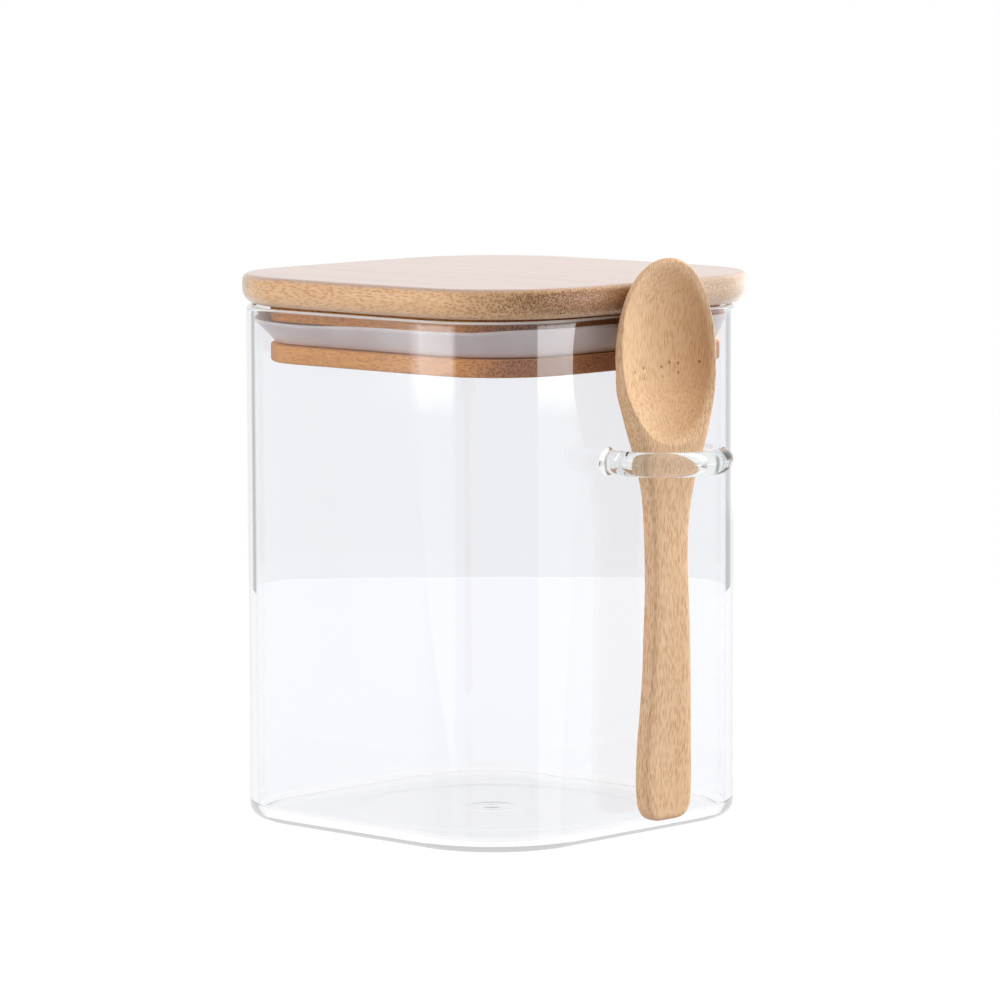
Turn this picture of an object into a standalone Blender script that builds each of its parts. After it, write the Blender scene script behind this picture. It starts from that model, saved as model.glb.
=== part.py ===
"""Square glass storage jar with a bamboo lid and a bamboo spoon in a glass loop.

The jar stands on the plane z = 0 with its centre at the origin and its sides along X and Y.
The loop and the spoon are on the front, -Y. Lengths are in metres, +Z is up.
"""
import math

import bmesh
import bpy
from mathutils import Matrix, Vector

# Glass body
JAR_SIDE = 0.100
JAR_HEIGHT = 0.127
JAR_CORNER_RADIUS = 0.0257
GLASS_THICKNESS = 0.0018
FOOT_RADIUS = 0.0034
RIM_ROUNDING = 0.0007

# Rings pressed into the underside of the base
BASE_RING_RADIUS = 0.034
CENTRE_RING_RADIUS = 0.0066
BASE_RING_WIDTH = 0.0030
BASE_RING_DEPTH = 0.0003
BASE_RING_OVERSWEEP = 1.2

# Bamboo board of the lid
LID_OVERHANG = 0.003
LID_THICKNESS = 0.0074
LID_CORNER_EASE = 0.0005
LID_SIDE_BOW = 0.0006
LID_LOWER_ROUNDING = 0.0036
LID_UPPER_ROUNDING = 0.0016
LID_SEAT_GAP = 0.0004
LID_SHIFT_X = 0.0014
LID_SHIFT_Y = -0.0004

# Bamboo plug under the board, with the groove for the seal
PLUG_CLEARANCE = 0.0029
PLUG_FLANGE = 0.00435
PLUG_ROUNDING = 0.0007
GROOVE_HEIGHT = 0.0058
GROOVE_DEPTH = 0.0035
SHOULDER_HEIGHT = 0.0039

# Silicone seal in the groove, its lip flared up to the glass
SEAL_ROOT_WIDTH = 0.0014
SEAL_LIP_LENGTH = 0.0060
SEAL_LIP_ROOT = 0.0020
SEAL_LIP_EDGE = 0.0011
SEAL_LIP_STEP = 0.0005

# Glass rod loop on the front wall
ROD_RADIUS = 0.0030
LOOP_BELOW_RIM = 0.0348
LOOP_OFFSET = 0.0012
LOOP_LEG = 0.0061
LOOP_FOOT_SPREAD = 0.0007
LOOP_FOOT_LENGTH = 0.0016
LOOP_FEET_DRAW = 0.0012

# Bamboo spoon
SPOON_LENGTH = 0.1359
SPOON_HANG = 0.0874
BOWL_WIDTH = 0.0345
BOWL_TOP_LENGTH = 0.0237
SPOON_REACH = 0.0106
SPOON_EDGE_ROUNDING = 0.0012
HANDLE_END_RADIUS = 0.0046
HOLLOW_LENGTH = 0.0430
HOLLOW_WIDTH = 0.0318
HOLLOW_DEPTH = 0.0041
HOLLOW_RIM = 0.0016

# Clearances
FIT_GAP = 0.0003
LOOP_CLEARANCE = 0.0005
CUT_OVERRUN = 0.002

# Steps of the curved shapes
CORNER_STEPS = 12
BOWED_SIDE_STEPS = 8
BEND_STEPS = 16
LEG_STEPS = 8
ROD_ROUNDING_STEPS = 4
RING_STEPS = 64
GROOVE_STEPS = 8
FOOT_STEPS = 4
EDGE_STEPS = 3
SEAT_STEPS = 36
SECTION_STEPS = 28
HANDLE_RINGS = 32
BOWL_RINGS = 12
HOLLOW_SEGMENTS = 48
HOLLOW_RINGS = 24

# The spoon from its handle's end to the widest place of its bowl. Each row holds shares: how far
# along the spoon's length, half its width of the bowl's width, and the places of its back and
# front faces, which are shares of its reach from the glass.
SPOON_SHARES = (
    (0.000, 0.221, 0.420, 0.811),
    (0.060, 0.246, 0.398, 0.794),
    (0.126, 0.241, 0.408, 0.803),
    (0.192, 0.225, 0.446, 0.842),
    (0.258, 0.210, 0.482, 0.874),
    (0.331, 0.199, 0.491, 0.886),
    (0.405, 0.184, 0.491, 0.887),
    (0.478, 0.182, 0.480, 0.866),
    (0.537, 0.193, 0.477, 0.868),
    (0.581, 0.219, 0.498, 0.898),
    (0.610, 0.251, 0.508, 0.918),
    (0.650, 0.304, 0.490, 0.966),
    (0.683, 0.349, 0.431, 1.000),
    (0.727, 0.411, 0.349, 0.978),
    (0.771, 0.476, 0.296, 0.886),
    (0.823, 0.500, 0.329, 0.816),
)
# From there to the tip, the back and front faces alone.
BOWL_TOP_SHARES = (
    (0.823, 0.329, 0.816),
    (0.874, 0.360, 0.796),
    (0.918, 0.396, 0.780),
    (0.962, 0.468, 0.788),
    (0.984, 0.552, 0.796),
    (1.000, 0.654, 0.793),
)
BOWL_ROUND_POWER = 2.08
HANDLE_SECTION_POWER = 5.0
BOWL_SECTION_POWER = 3.0
NECK_SHARE = 0.66
BOWL_SHARE = 0.77

# Sizes and places that follow from those above
MOUTH_HALF = JAR_SIDE / 2 - GLASS_THICKNESS
MOUTH_RADIUS = JAR_CORNER_RADIUS - GLASS_THICKNESS
LID_BOTTOM = JAR_HEIGHT + LID_SEAT_GAP
LID_CORNER_RADIUS = JAR_CORNER_RADIUS + LID_OVERHANG + LID_CORNER_EASE
LID_CENTRE = (LID_SHIFT_X, LID_SHIFT_Y)
SHOULDER_LOW = LID_BOTTOM - SHOULDER_HEIGHT
GROOVE_LOW = SHOULDER_LOW - GROOVE_HEIGHT
PLUG_LOW = GROOVE_LOW - PLUG_FLANGE
WALL_FRONT = -JAR_SIDE / 2
LOOP_HEIGHT = JAR_HEIGHT - LOOP_BELOW_RIM
SPOON_FOOT_HEIGHT = LOOP_HEIGHT - SPOON_HANG


def clear_scene():
    """Remove what the scene holds."""
    for obj in list(bpy.data.objects):
        bpy.data.objects.remove(obj, do_unlink=True)


def new_collection(name):
    """A collection of the scene."""
    collection = bpy.data.collections.new(name)
    bpy.context.scene.collection.children.link(collection)
    return collection


def material(name, color, roughness, transmission=0.0):
    """A Principled BSDF material."""
    mat = bpy.data.materials.new(name)
    mat.use_nodes = True
    shader = mat.node_tree.nodes["Principled BSDF"]
    shader.inputs["Base Color"].default_value = (*color, 1.0)
    shader.inputs["Roughness"].default_value = roughness
    shader.inputs["Transmission Weight"].default_value = transmission
    mat.diffuse_color = (*color, 1.0)
    return mat


def add_object(name, data, collection, mat=None):
    """An object of the collection, with its material."""
    obj = bpy.data.objects.new(name, data)
    collection.objects.link(obj)
    if mat:
        data.materials.append(mat)
    return obj


def carry(obj, empty):
    """Parent an object to the empty on its joint's axis, where it is."""
    obj.parent = empty
    obj.matrix_parent_inverse = Matrix.Translation(-empty.location)


def axis_empty(name, place, collection):
    """An empty on a joint's axis."""
    empty = add_object(name, None, collection)
    empty.location = place
    return empty


def rounded_square(half, radius, bow=0.0, centre=(0.0, 0.0)):
    """Points of a square with round corners, counter-clockwise, its sides bowed out by bow."""
    flat = half - radius
    if bow > 0:
        side_radius = (flat * flat + bow * bow) / (2 * bow)
        side_centre = half - side_radius
        reach = side_radius - radius
        corner = (side_centre + math.sqrt(2 * reach * reach - side_centre * side_centre)) / 2
        start = math.atan2(corner, corner - side_centre)
        side_angles = [start * (2 * i / BOWED_SIDE_STEPS - 1) for i in range(1, BOWED_SIDE_STEPS)]
        side = [Vector((side_centre + side_radius * math.cos(a), side_radius * math.sin(a)))
                for a in side_angles]
    else:
        corner = flat
        start = 0.0
        side = []
    sweep = math.pi / 2 - 2 * start
    corner_angles = [start + sweep * i / CORNER_STEPS for i in range(CORNER_STEPS + 1)]
    quarter = side + [Vector((corner + radius * math.cos(a), corner + radius * math.sin(a)))
                      for a in corner_angles]
    points = []
    for turn in range(4):
        spin = Matrix.Rotation(turn * math.pi / 2, 2)
        points += [spin @ p + Vector(centre) for p in quarter]
    return points


def shade(mesh):
    """Smooth faces, with the hard edges kept sharp."""
    mesh.shade_smooth()
    mesh.set_sharp_from_angle(angle=math.radians(35))


def slab(name, outline, low, high, collection, mat=None):
    """A flat solid with the outline, from low to high."""
    mesh = bpy.data.meshes.new(name)
    bm = bmesh.new()
    base = bm.faces.new([bm.verts.new((p.x, p.y, low)) for p in outline])
    raised = bmesh.ops.extrude_face_region(bm, geom=[base])["geom"]
    top = [v for v in raised if isinstance(v, bmesh.types.BMVert)]
    bmesh.ops.translate(bm, verts=top, vec=(0, 0, high - low))
    bmesh.ops.recalc_face_normals(bm, faces=bm.faces)
    bm.to_mesh(mesh)
    bm.free()
    shade(mesh)
    return add_object(name, mesh, collection, mat)


def loft(name, rings, collection, mat=None, closed=False):
    """A solid through rings of as many points each. A closed one joins its last ring to its first."""
    mesh = bpy.data.meshes.new(name)
    bm = bmesh.new()
    rows = [[bm.verts.new(p) for p in ring] for ring in rings]
    pairs = list(zip(rows, rows[1:]))
    if closed:
        pairs.append((rows[-1], rows[0]))
    else:
        bm.faces.new(rows[0])
        bm.faces.new(rows[-1])
    for one, other in pairs:
        for i in range(len(one)):
            j = (i + 1) % len(one)
            bm.faces.new((one[i], one[j], other[j], other[i]))
    bmesh.ops.recalc_face_normals(bm, faces=bm.faces)
    bm.to_mesh(mesh)
    bm.free()
    shade(mesh)
    return add_object(name, mesh, collection, mat)


def cut(obj, cutter):
    """Take the cutter's shape out of an object."""
    boolean = obj.modifiers.new("cut_" + cutter.name, "BOOLEAN")
    boolean.operation = "DIFFERENCE"
    boolean.solver = "EXACT"
    boolean.object = cutter
    cutter.hide_render = True
    cutter.display_type = "WIRE"


def round_edges(obj, name, width, steps):
    """Round the edges that turn by more than 60 degrees."""
    bevel = obj.modifiers.new(name, "BEVEL")
    bevel.limit_method = "ANGLE"
    bevel.angle_limit = math.radians(60)
    bevel.width = width
    bevel.segments = steps


def round_rims(obj, low, high, lower_width, upper_width):
    """Round a slab's lower and upper edges, each by its own width."""
    mesh = obj.data
    weights = mesh.attributes.new("bevel_weight_edge", "FLOAT", "EDGE")
    middle = (low + high) / 2
    for edge in mesh.edges:
        heights = [mesh.vertices[v].co.z for v in edge.vertices]
        if max(heights) < middle:
            weights.data[edge.index].value = 1.0
        elif min(heights) > middle:
            weights.data[edge.index].value = upper_width / lower_width
    bevel = obj.modifiers.new("rims", "BEVEL")
    bevel.limit_method = "WEIGHT"
    bevel.width = lower_width
    bevel.segments = FOOT_STEPS


def ring_cutter(name, radius, collection):
    """A torus that presses a shallow ring into the underside of the base."""
    half = BASE_RING_WIDTH / 2
    tube = (half * half + BASE_RING_DEPTH * BASE_RING_DEPTH) / (2 * BASE_RING_DEPTH)
    rings = []
    for i in range(RING_STEPS):
        turn = 2 * math.pi * i / RING_STEPS
        out = Vector((math.cos(turn), math.sin(turn), 0.0))
        ring = []
        for k in range(GROOVE_STEPS + 1):
            swing = BASE_RING_OVERSWEEP * math.asin(half / tube) * (2 * k / GROOVE_STEPS - 1)
            rise = tube * math.cos(swing) - tube + BASE_RING_DEPTH
            ring.append(out * (radius + tube * math.sin(swing)) + Vector((0, 0, rise)))
        ring.append(out * (radius + half) - Vector((0, 0, CUT_OVERRUN)))
        ring.append(out * (radius - half) - Vector((0, 0, CUT_OVERRUN)))
        rings.append(ring)
    return loft(name, rings, collection, closed=True)


def make_jar_body(collection, cutters, mat):
    """The square glass body, one skin of glass open at the top."""
    outline = rounded_square(JAR_SIDE / 2, JAR_CORNER_RADIUS)
    jar = slab("jar_body", outline, 0.0, JAR_HEIGHT, collection, mat)
    bm = bmesh.new()
    bm.from_mesh(jar.data)
    top = [f for f in bm.faces if min(v.co.z for v in f.verts) > JAR_HEIGHT / 2]
    bmesh.ops.delete(bm, geom=top, context="FACES_ONLY")
    bm.to_mesh(jar.data)
    bm.free()
    round_edges(jar, "foot", FOOT_RADIUS, FOOT_STEPS)
    skin = jar.modifiers.new("glass", "SOLIDIFY")
    skin.thickness = GLASS_THICKNESS
    skin.offset = -1.0
    skin.use_even_offset = True
    round_edges(jar, "rim", RIM_ROUNDING, EDGE_STEPS)
    cut(jar, ring_cutter("base_ring_cutter", BASE_RING_RADIUS, cutters))
    cut(jar, ring_cutter("centre_ring_cutter", CENTRE_RING_RADIUS, cutters))
    return jar


def make_lid_board(collection, mat):
    """The bamboo board that rests over the rim."""
    half = JAR_SIDE / 2 + LID_OVERHANG
    outline = rounded_square(half, LID_CORNER_RADIUS, LID_SIDE_BOW, LID_CENTRE)
    top = LID_BOTTOM + LID_THICKNESS
    board = slab("lid_board", outline, LID_BOTTOM, top, collection, mat)
    round_rims(board, LID_BOTTOM, top, LID_LOWER_ROUNDING, LID_UPPER_ROUNDING)
    return board


def plug_outline(inset):
    """The plug's outline, drawn in by inset."""
    drawn = PLUG_CLEARANCE + inset
    return rounded_square(MOUTH_HALF - drawn, MOUTH_RADIUS - drawn, centre=LID_CENTRE)


def make_lid_plug(collection, cutters, mat):
    """The bamboo plug glued under the board, with a groove all round for the seal."""
    top = LID_BOTTOM - FIT_GAP
    plug = slab("lid_plug", plug_outline(0.0), PLUG_LOW, top, collection, mat)
    round_edges(plug, "edges", PLUG_ROUNDING, EDGE_STEPS)
    levels = (GROOVE_LOW, SHOULDER_LOW)
    inner = [plug_outline(GROOVE_DEPTH), plug_outline(GROOVE_DEPTH)]
    outer = [plug_outline(-CUT_OVERRUN), plug_outline(-CUT_OVERRUN)]
    rings = [[p.to_3d() + Vector((0, 0, z)) for p in points]
             for points, z in zip(inner + outer, levels + levels[::-1])]
    cut(plug, loft("groove_cutter", rings, cutters, closed=True))
    return plug


def make_seal(collection, mat):
    """The silicone ring: a root in the groove and a lip, bent up where the gap to the wall is narrow."""
    wall = rounded_square(MOUTH_HALF - FIT_GAP, MOUTH_RADIUS - FIT_GAP)
    root_inner = plug_outline(GROOVE_DEPTH - FIT_GAP)
    root_outer = plug_outline(GROOVE_DEPTH - FIT_GAP - SEAL_ROOT_WIDTH)
    lip_start = plug_outline(GROOVE_DEPTH - FIT_GAP - SEAL_ROOT_WIDTH - SEAL_LIP_STEP)
    low = GROOVE_LOW + FIT_GAP
    high = SHOULDER_LOW - FIT_GAP

    def level(points, z):
        return [p.to_3d() + Vector((0, 0, z)) for p in points]

    tip = []
    for start, end in zip(lip_start, wall):
        rise = math.sqrt(SEAL_LIP_LENGTH ** 2 - (end - start).length_squared)
        tip.append(end.to_3d() + Vector((0, 0, low + rise)))
    rings = [
        level(root_inner, low),
        level(root_outer, low),
        tip,
        [p + Vector((0, 0, SEAL_LIP_EDGE)) for p in tip],
        level(lip_start, low + SEAL_LIP_ROOT),
        level(root_outer, low + SEAL_LIP_ROOT + SEAL_LIP_STEP),
        level(root_outer, high),
        level(root_inner, high),
    ]
    return loft("seal_ring", rings, collection, mat, closed=True)


def smooth_row(rows, along):
    """A row of the table at a place between its rows, on a smooth curve through them."""
    last = len(rows) - 1
    i = max(k for k in range(last) if rows[k][0] <= along or k == 0)
    before, here, there, after = (rows[max(0, min(last, i + k))] for k in (-1, 0, 1, 2))
    step = there[0] - here[0]
    t = (along - here[0]) / step
    row = []
    for a, p, q, b in zip(before[1:], here[1:], there[1:], after[1:]):
        start = (q - a) / (there[0] - before[0]) * step
        end = (b - p) / (after[0] - here[0]) * step
        row.append((2 * t ** 3 - 3 * t ** 2 + 1) * p + (t ** 3 - 2 * t ** 2 + t) * start
                   + (3 * t ** 2 - 2 * t ** 3) * q + (t ** 3 - t ** 2) * end)
    return row


def spoon_size(along):
    """Half the spoon's width, and its back and front, at a share of its length."""
    widest_share = SPOON_SHARES[-1][0]
    if along <= widest_share:
        width, back, front = smooth_row(SPOON_SHARES, along)
        half = width * BOWL_WIDTH
    else:
        back, front = smooth_row(BOWL_TOP_SHARES, along)
        climb = (along - widest_share) * SPOON_LENGTH / BOWL_TOP_LENGTH
        half = BOWL_WIDTH / 2 * (1 - min(climb, 1.0) ** BOWL_ROUND_POWER) ** (1 / BOWL_ROUND_POWER)
    back *= SPOON_REACH
    front *= SPOON_REACH
    from_end = along * SPOON_LENGTH
    if from_end < HANDLE_END_RADIUS:
        side = HANDLE_END_RADIUS - from_end
        half -= HANDLE_END_RADIUS - math.sqrt(HANDLE_END_RADIUS ** 2 - side ** 2)
    if from_end < SPOON_EDGE_ROUNDING:
        side = SPOON_EDGE_ROUNDING - from_end
        drawn = SPOON_EDGE_ROUNDING - math.sqrt(SPOON_EDGE_ROUNDING ** 2 - side ** 2)
        back += drawn
        front -= drawn
    return half, back, front


def loop_half_span():
    """How far each leg of the loop stands from the spoon's middle, so that the neck seats on both."""
    along = (LOOP_HEIGHT - SPOON_FOOT_HEIGHT) / SPOON_LENGTH
    spans = []
    for k in range(SEAT_STEPS + 1):
        rise = ROD_RADIUS * k / SEAT_STEPS
        half = spoon_size(along + rise / SPOON_LENGTH)[0]
        reach = ROD_RADIUS + LOOP_CLEARANCE
        spans.append(half + math.sqrt(reach * reach - rise * rise))
    return max(spans)


def section(along):
    """The spoon's outline across, at a share of its length: a flat front and a rounded back."""
    half, back, front = spoon_size(along)
    mix = max(0.0, min(1.0, (along - NECK_SHARE) / (BOWL_SHARE - NECK_SHARE)))
    power = HANDLE_SECTION_POWER + (BOWL_SECTION_POWER - HANDLE_SECTION_POWER) * mix
    middle = (front + back) / 2
    widest = middle + (max(middle, front - SPOON_EDGE_ROUNDING) - middle) * mix
    ring = []
    for k in range(SECTION_STEPS):
        turn = 2 * math.pi * (k + 1 / 2) / SECTION_STEPS
        across = math.copysign(abs(math.cos(turn)) ** (2 / power), math.cos(turn))
        out = math.copysign(abs(math.sin(turn)) ** (2 / power), math.sin(turn))
        depth = front - widest if out > 0 else widest - back
        ring.append(Vector((LOOP_OFFSET + half * across,
                            WALL_FRONT - widest - depth * out,
                            SPOON_FOOT_HEIGHT + along * SPOON_LENGTH)))
    return ring


def make_spoon(collection, cutters, mat):
    """The bamboo spoon, bowl up and hollow to the front."""
    widest_share = SPOON_SHARES[-1][0]
    alongs = [widest_share * (1 - math.cos(math.pi * (k + 1 / 2) / (2 * HANDLE_RINGS + 1)))
              for k in range(HANDLE_RINGS)]
    alongs += [widest_share + (1 - widest_share) * math.sin(math.pi / 2 * k / (BOWL_RINGS + 1 / 3))
               for k in range(BOWL_RINGS + 1)]
    spoon = loft("spoon", [section(a) for a in alongs], collection, mat)
    top_share = 1.0 - HOLLOW_RIM / SPOON_LENGTH
    low_share = top_share - HOLLOW_LENGTH / SPOON_LENGTH
    top = Vector((0.0, WALL_FRONT - spoon_size(top_share)[2], top_share * SPOON_LENGTH))
    low = Vector((0.0, WALL_FRONT - spoon_size(low_share)[2], low_share * SPOON_LENGTH))
    centre = (top + low) / 2 + Vector((LOOP_OFFSET, 0.0, SPOON_FOOT_HEIGHT))
    lean = math.atan2(top.y - low.y, top.z - low.z)
    bm = bmesh.new()
    bmesh.ops.create_uvsphere(bm, u_segments=HOLLOW_SEGMENTS, v_segments=HOLLOW_RINGS, radius=1.0)
    size = Matrix.Diagonal((HOLLOW_WIDTH / 2, HOLLOW_DEPTH, (top - low).length / 2, 1.0))
    place = Matrix.Translation(centre) @ Matrix.Rotation(-lean, 4, "X") @ size
    bmesh.ops.transform(bm, matrix=place, verts=bm.verts)
    mesh = bpy.data.meshes.new("hollow_cutter")
    bm.to_mesh(mesh)
    bm.free()
    cut(spoon, add_object("hollow_cutter", mesh, cutters))
    return spoon


def loop_leg():
    """Places along one leg: how far from the wall, how far drawn in, and its share of the rod's radius."""
    places = []
    for k in range(LEG_STEPS):
        out = LOOP_LEG * k / LEG_STEPS
        flare = max(0.0, 1 - out / LOOP_FOOT_LENGTH) ** 2
        share = max(0.0, out - LOOP_FOOT_LENGTH) / (LOOP_LEG - LOOP_FOOT_LENGTH)
        places.append((out,
                       LOOP_FEET_DRAW * (1 - share * share * (3 - 2 * share)),
                       1 + flare * LOOP_FOOT_SPREAD / ROD_RADIUS))
    return places


def make_loop(collection, mat):
    """The bent glass rod whose two feet are fused to the front wall."""
    span = loop_half_span()
    wall = WALL_FRONT - FIT_GAP
    leg_end = wall - LOOP_LEG
    leg = loop_leg()
    points = [(LOOP_OFFSET - span + drawn, wall - out, size) for out, drawn, size in leg]
    for k in range(BEND_STEPS + 1):
        turn = math.pi * k / BEND_STEPS
        points.append((LOOP_OFFSET - span * math.cos(turn), leg_end - span * math.sin(turn), 1.0))
    points += [(LOOP_OFFSET + span - drawn, wall - out, size) for out, drawn, size in reversed(leg)]
    curve = bpy.data.curves.new("spoon_loop", "CURVE")
    curve.dimensions = "3D"
    curve.bevel_depth = ROD_RADIUS
    curve.bevel_resolution = ROD_ROUNDING_STEPS
    curve.use_fill_caps = True
    spline = curve.splines.new("POLY")
    spline.points.add(len(points) - 1)
    for point, (x, y, size) in zip(spline.points, points):
        point.co = (x, y, LOOP_HEIGHT, 1.0)
        point.radius = size
    return add_object("spoon_loop", curve, collection, mat)


def main():
    """Build the jar."""
    clear_scene()
    parts = new_collection("glass_jar")
    cutters = new_collection("cutters")
    glass = material("glass", (0.93, 0.95, 0.96), 0.02, transmission=1.0)
    loop_glass = material("loop_glass", (0.92, 0.95, 0.95), 0.03, transmission=1.0)
    board_bamboo = material("board_bamboo", (0.62, 0.40, 0.22), 0.45)
    plug_bamboo = material("plug_bamboo", (0.55, 0.33, 0.17), 0.50)
    spoon_bamboo = material("spoon_bamboo", (0.72, 0.50, 0.30), 0.50)
    silicone = material("silicone", (0.80, 0.81, 0.81), 0.40)

    make_jar_body(parts, cutters, glass)
    make_loop(parts, loop_glass)

    lid_axis = axis_empty("lid_lift_axis", (LID_SHIFT_X, LID_SHIFT_Y, LID_BOTTOM), parts)
    for piece in (make_lid_board(parts, board_bamboo),
                  make_lid_plug(parts, cutters, plug_bamboo),
                  make_seal(parts, silicone)):
        carry(piece, lid_axis)

    spoon_axis = axis_empty("spoon_lift_axis", (LOOP_OFFSET, WALL_FRONT, LOOP_HEIGHT), parts)
    carry(make_spoon(parts, cutters, spoon_bamboo), spoon_axis)


main()
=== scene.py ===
"""Looks of the square glass jar: fine meshes, glass, bamboo and silicone, camera and light."""
import math

import bmesh
import bpy
from mathutils import Matrix, Vector


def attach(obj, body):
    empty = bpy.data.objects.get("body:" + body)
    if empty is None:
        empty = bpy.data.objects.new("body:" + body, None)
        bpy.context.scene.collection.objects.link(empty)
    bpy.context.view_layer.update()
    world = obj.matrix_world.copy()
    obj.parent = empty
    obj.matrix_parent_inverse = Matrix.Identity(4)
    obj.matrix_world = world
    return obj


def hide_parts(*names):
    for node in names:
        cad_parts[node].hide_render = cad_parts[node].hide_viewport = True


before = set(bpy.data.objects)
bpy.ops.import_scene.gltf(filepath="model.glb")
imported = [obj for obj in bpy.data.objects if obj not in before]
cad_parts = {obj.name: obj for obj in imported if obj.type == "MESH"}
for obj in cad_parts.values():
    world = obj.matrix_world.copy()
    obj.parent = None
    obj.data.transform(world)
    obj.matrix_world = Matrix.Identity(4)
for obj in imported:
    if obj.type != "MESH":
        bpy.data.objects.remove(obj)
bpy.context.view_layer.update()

# The meshes follow the solids. Their lengths are in millimetres, and add_mesh turns them to metres.
MM = 0.001

# The jar
JAR_HALF = 50.0
JAR_TOP = 127.0
JAR_RADIUS = 25.7
WALL = 1.8
FOOT = 3.4
INNER_FOOT = 2.8
LIP = 0.85
WALL_END = JAR_TOP - LIP - 0.6
WALL_HEIGHTS = (8, 20, 40, 60, 80, 100, 112, 120, WALL_END)
FOOT_STEPS, LIP_STEPS = 14, 7
# Each pressed ring of the base: where its slope starts, how wide the slope is, how deep it goes
PRESSES = ((30.5, 6.5, 0.05), (5.2, 2.8, 0.025))
INNER_PRESS_SHARE = 0.7
CIRCLES = (1.5, 3.0, 4.6, *(4.8 + 0.36 * i for i in range(11)), 10, 14, 19, 24, 28, 31,
           *(31.6 + 0.5 * i for i in range(12)), 38.5, 40.5, 43.0)
BLEND_SHARES = (0.3, 0.65, 0.9, 1.0)

# The lid
SHIFT = (1.4, -0.4)
LID_LOW = 127.4
LID_TOP = 134.8
BOARD_HALF, BOARD_RADIUS, BOARD_BOW = 53.0, 29.2, 0.6
LOW_EDGE, TOP_EDGE, LOW_EDGE_SHARE = 3.9, 1.7, 0.88
LOW_EDGE_STEPS, TOP_EDGE_STEPS = 12, 9
PLUG_LOW = 113.35
PLUG_HALF = 45.3
PLUG_RADIUS = 21.0
PLUG_EDGE, PLUG_EDGE_STEPS = 0.7, 5
GROOVE_LOW = 117.7
GROOVE_TOP = 123.5
GROOVE_DEPTH = 3.5
GROOVE_EDGE, GROOVE_EDGE_STEPS = 0.35, 3
FLAT_RUN = 1.0
GLUE_GAP = 0.05
MIDDLE_SHARE = 0.5

# The seal
SEAL_FIT = 0.15
SEAL_LOW, SEAL_TOP = GROOVE_LOW + 0.25, GROOVE_TOP - 0.25
SEAL_ROOT = GROOVE_DEPTH - SEAL_FIT
SEAL_COLLARS = (1.0, 1.45, 1.5, 2.0)
SEAL_TIP = 123.75
SEAL_STEPS, SEAL_UPPER_STEPS = 12, 10
SEAL_THICK, SEAL_THINNING = 1.9, 0.55
SEAL_SAG, SAG_Y, SAG_SPREAD, SAG_X, SAG_RUN = 0.8, 18, 16, 40, 6
SEAL_PUSH, PUSH_Y, PUSH_X, PUSH_RUN = 0.6, 36, 52, 10
BULGE, BULGE_LEAN, WIDE_GAP, GAP_RANGE = 0.16, 0.4, 5.0, 2.6
LIP_EDGE = ((1.0, 0.45), (0.985, 0.75), (0.95, 0.85))
LIP_RISE, COLLAR_RISE, COLLAR_TOP = 0.2, 0.05, 2.4

# The loop
LOOP_Z = 92.2
LOOP_X = 1.2
ROD = 3.0
LEG_END, SPAN = 56.4, 13.87
LEG_SINK, LEG_DRAWN = 0.03, 1.2
RIGHT_DRAWN, RIGHT_FROM, RIGHT_OVER = 0.5, 1.4, 0.8
# The rod's feet: distance from the wall, and how much thicker the rod is there
FEET = ((0.0, 0.5), (0.12, 0.46), (0.3, 0.38), (0.55, 0.25), (0.9, 0.08), (1.4, -0.04),
        (2.0, -0.04), (3.0, 0.0), (4.0, 0.0), (5.2, 0.0))
BEND_STEPS, ROD_STEPS = 60, 48

# The spoon: share of its length, half its width, and how far its back and front stand from the
# glass
SPOON = (
    (0.000, 7.62, 4.45, 8.60), (0.060, 8.49, 4.22, 8.42), (0.126, 8.31, 4.32, 8.51),
    (0.192, 7.76, 4.73, 8.93), (0.258, 7.25, 5.11, 9.26), (0.331, 6.87, 5.20, 9.39),
    (0.405, 6.35, 5.20, 9.40), (0.478, 6.28, 5.09, 9.18), (0.537, 6.66, 5.06, 9.20),
    (0.581, 7.56, 5.28, 9.52), (0.610, 8.66, 5.38, 9.73), (0.650, 10.49, 5.19, 10.24),
    (0.683, 12.04, 4.57, 10.60), (0.727, 14.18, 3.70, 10.37), (0.771, 16.42, 3.14, 9.39),
    (0.823, 17.25, 3.49, 8.65), (0.874, 0.0, 3.82, 8.44), (0.918, 0.0, 4.20, 8.27),
    (0.962, 0.0, 4.96, 8.35), (0.984, 0.0, 5.85, 8.44), (1.000, 0.0, 6.93, 8.41),
)
SPOON_FOOT = 4.8
SPOON_LENGTH = 135.9
WIDEST, WIDEST_HALF = 0.823, 17.25
LOWER = tuple(row for row in SPOON if row[0] <= WIDEST)
TIP, TIP_POWER = 24.0, 2.08
END_CORNER, END_EDGE = 4.6, 1.2
MOUTH_LOW, MOUTH_TOP, MOUTH_HALF, MOUTH_POWER = 96.2, 139.7, 16.5, 2.3
MOUTH_MIDDLE, MOUTH_REACH = (MOUTH_LOW + MOUTH_TOP) / 2, (MOUTH_TOP - MOUTH_LOW) / 2
HOLLOW_DEPTH, HOLLOW_TILT, HOLLOW_POWER, HOLLOW_CURVE = 3.75, 0.35 / 21.5, 2.4, 0.95
HANDLE_POWER, BOWL_POWER_LESS, BOWL_FROM, BOWL_OVER, RIM_THICK = 6.5, 3.5, 0.62, 0.2, 0.9
BACK_STEPS = 32
END_ROWS = (0.0004, 0.001, 0.0025, 0.005, 0.008, 0.012, 0.018, 0.025, 0.034,
            *(0.045 + 0.0105 * i for i in range(60)))
BOWL_ROW, LAST_BOWL_ROW = 0.55, 137.6
TIP_ROWS = (1.9, 1.5, 1.15, 0.85, 0.6, 0.4, 0.25, 0.13, 0.05, 0.015)
RIM_SHARES = (0.02, 0.07, 0.15, 0.27, 0.42, 0.6, 0.8)
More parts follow.
